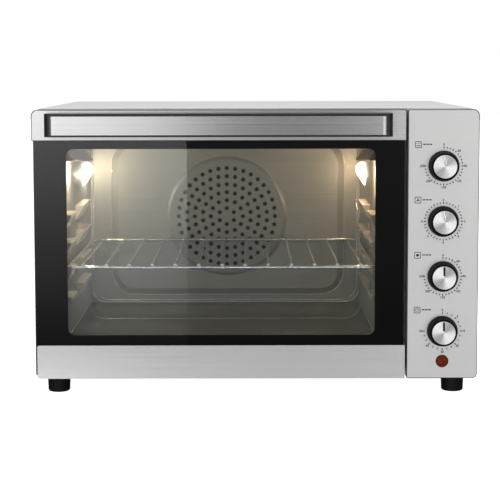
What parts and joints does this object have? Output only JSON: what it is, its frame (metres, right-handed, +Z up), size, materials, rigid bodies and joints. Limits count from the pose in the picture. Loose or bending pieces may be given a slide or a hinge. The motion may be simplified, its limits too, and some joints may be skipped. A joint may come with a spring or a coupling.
{
  "type": "rotisserie oven",
  "caption": "Countertop convection and rotisserie oven with a drop-down glass door, a lit cavity with a wire rack, and knobs on a side panel.",
  "frame": {"origin": "on the surface under the feet, at the middle of the oven's outer box", "axes": "+X to the right as seen from the front, +Y from the door to the back, +Z up"},
  "size_m": [0.7, 0.5724, 0.4555],
  "materials": {
    "stainless": "horizontally brushed, satin",
    "case_paint": "silver grey paint, satin",
    "zinc": "zinc-plated sheet",
    "cavity_enamel": "aluminised grey coating, semi-gloss",
    "rack_chrome": "chrome-plated wire",
    "dark_frame": "black paint, satin",
    "black_plastic": "fine matt grain",
    "knob_metal": "radially brushed",
    "rubber": "matt",
    "door_glass": "polished, with a black printed border",
    "lamp_glass": "heat-resistant moulded glass",
    "lamp_bulb": "lit lamp",
    "ceramic": "unglazed",
    "heater_steel": "heat-darkened steel sheath",
    "indicator_red": "translucent dark red lens"
  },
  "bodies": {
    "case": {"casing_wrap": "case_paint", "base_plate": "zinc", "rear_cover": "zinc", "front_frame": "zinc", "door_seal": "rubber", "cavity_floor_pan": "cavity_enamel", "cavity_ceiling": "cavity_enamel", "cavity_left_wall": "cavity_enamel", "cavity_right_wall": "cavity_enamel", "cavity_rear_wall": "cavity_enamel", "rack_guides_left": "cavity_enamel", "rack_guides_right": "cavity_enamel", "fan_cover": "cavity_enamel", "fan_pan": "zinc", "fan_motor": "zinc", "upper_heaters": "heater_steel", "lower_heaters": "heater_steel", "heater_insulators": "ceramic", "lamp_holders": "ceramic", "lamp_bulbs": "lamp_bulb", "lamp_covers": "lamp_glass", "lamp_hoods": "cavity_enamel", "spit_motor": "zinc", "spit_rest": "cavity_enamel", "thermostat_probe": "stainless", "control_panel": "stainless", "upper_heat_switch": "ceramic", "function_switch": "black_plastic", "lower_heat_switch": "ceramic", "timer_switch": "black_plastic", "indicator_holder": "stainless", "indicator_lens": "indicator_red", "feet": "rubber", "cord_gland": "black_plastic", "rear_spacers": "black_plastic", "case_screws": "zinc", "hinge_brackets": "zinc"},
    "door": {"door_glass": "door_glass", "door_inner_frame": "dark_frame", "door_inner_glass": "door_glass", "door_top_trim": "stainless", "door_bottom_trim": "stainless", "door_hinge_barrels": "zinc", "handle_core": "black_plastic", "handle_cover": "stainless"},
    "rack": {"wire_rack": "rack_chrome"},
    "fan": {"convection_fan": "stainless"},
    "spit": {"spit_drive": "stainless"},
    "upper_heat": {"upper_heat_knob": "black_plastic", "upper_heat_cap": "knob_metal", "upper_heat_shaft": "zinc"},
    "function": {"function_knob": "black_plastic", "function_cap": "knob_metal", "function_shaft": "zinc"},
    "lower_heat": {"lower_heat_knob": "black_plastic", "lower_heat_cap": "knob_metal", "lower_heat_shaft": "zinc"},
    "timer": {"timer_knob": "black_plastic", "timer_cap": "knob_metal", "timer_shaft": "zinc"}
  },
  "joints": [
    {"name": "door_hinge", "type": "hinge", "parent": "case", "child": "door", "pos_m": [-0.057, -0.23175, 0.043], "axis": [1, 0, 0], "range_deg": [0, 85], "stiffness_Nm_per_rad": 1, "springref_deg": -28.65},
    {"name": "rack_slide", "type": "slide", "parent": "case", "child": "rack", "axis": [0, -1, 0], "range_m": [0, 0.18]},
    {"name": "fan_spin", "type": "hinge", "parent": "case", "child": "fan", "pos_m": [-0.052, 0.20925, 0.243], "axis": [0, 1, 0], "continuous": true},
    {"name": "spit_spin", "type": "hinge", "parent": "case", "child": "spit", "pos_m": [0.202, -0.01075, 0.25], "axis": [1, 0, 0], "continuous": true},
    {"name": "upper_heat_turn", "type": "hinge", "parent": "case", "child": "upper_heat", "pos_m": [0.2945, -0.25575, 0.3655], "axis": [0, 1, 0], "range_deg": [0, 270]},
    {"name": "function_turn", "type": "hinge", "parent": "case", "child": "function", "pos_m": [0.2945, -0.25575, 0.2785], "axis": [0, 1, 0], "range_deg": [0, 270]},
    {"name": "lower_heat_turn", "type": "hinge", "parent": "case", "child": "lower_heat", "pos_m": [0.2945, -0.25575, 0.1915], "axis": [0, 1, 0], "range_deg": [0, 270]},
    {"name": "timer_turn", "type": "hinge", "parent": "case", "child": "timer", "pos_m": [0.2945, -0.25575, 0.1045], "axis": [0, 1, 0], "range_deg": [0, 270]}
  ],
  "couplings": [
    {"joint": "rack_slide", "follows": "door_hinge", "m_per_rad": 0.12}
  ]
}
